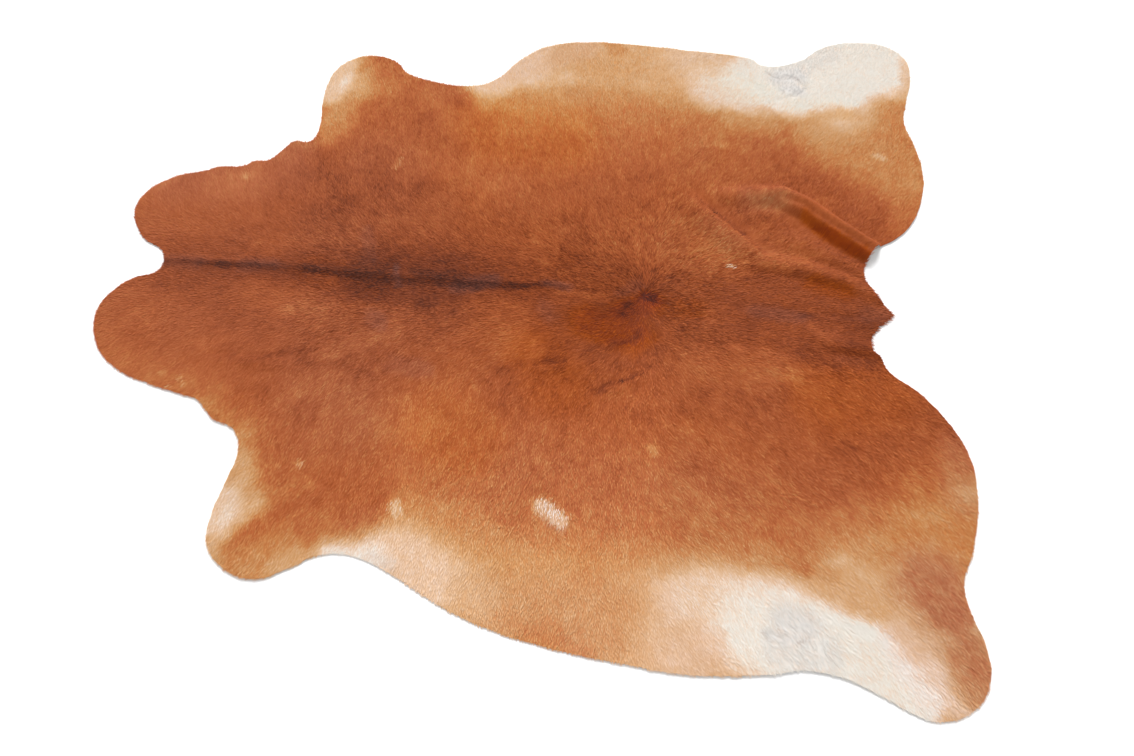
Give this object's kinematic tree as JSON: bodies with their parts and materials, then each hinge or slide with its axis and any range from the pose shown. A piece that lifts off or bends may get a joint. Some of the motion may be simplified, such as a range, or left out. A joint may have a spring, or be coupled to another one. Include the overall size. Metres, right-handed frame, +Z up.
{
  "type": "hair-on cattle hide rug",
  "caption": "Hair-on cattle hide lying flat: one sheet in the full outline of neck, legs and tail root, with folds by the tail and a short red-brown coat.",
  "frame": {"origin": "centre of the hide's box, at floor level", "axes": "+X along the spine from the neck to the tail, +Y towards the far flank, the one with the long fold, +Z up out of the floor"},
  "size_m": [2.2418, 2.048, 0.0392],
  "materials": {
    "hair_on_hide": "short lying hair, red-brown with tan and cream flanks and a dark spine stripe, over soft leather with a suede underside"
  },
  "bodies": {
    "root": {"hide": "hair_on_hide"}
  },
  "joints": []
}
